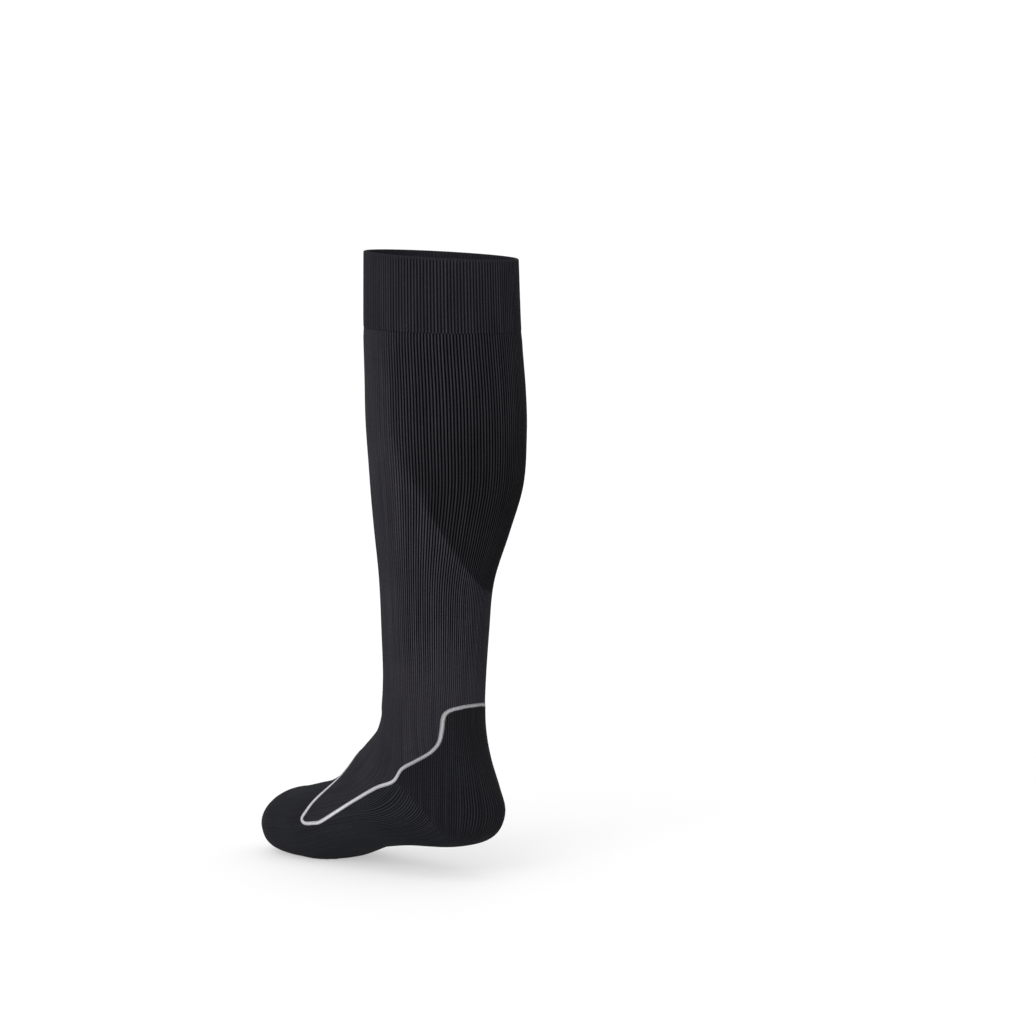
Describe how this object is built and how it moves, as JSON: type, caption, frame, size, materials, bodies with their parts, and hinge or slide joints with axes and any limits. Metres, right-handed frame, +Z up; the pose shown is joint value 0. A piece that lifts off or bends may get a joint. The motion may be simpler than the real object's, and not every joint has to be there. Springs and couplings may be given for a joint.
{
  "type": "compression stocking",
  "caption": "Knee-high ribbed compression stocking, worn on a raised left foot, with a calf panel, contour line and cushioned heel and toe.",
  "frame": {"origin": "on the leg's axis near the middle of the top band, where the wearer's calf holds the stocking up", "axes": "+Z up along the leg, toes toward -Y, +X to the outer side of the left foot; the floor under the ball of the foot is at z = -0.408"},
  "size_m": [0.1148, 0.242, 0.4348],
  "materials": {
    "top_band": "matte ribbed knit, dark charcoal",
    "calf_panel": "dense ribbed knit, near black",
    "leg": "matte ribbed knit, charcoal",
    "contour_line": "smooth knit, light grey",
    "foot": "cushioned plain knit, blue black"
  },
  "bodies": {
    "root": {"top_band": "top_band", "calf_panel": "calf_panel", "leg": "leg", "contour_line": "contour_line", "foot": "foot"}
  },
  "joints": []
}
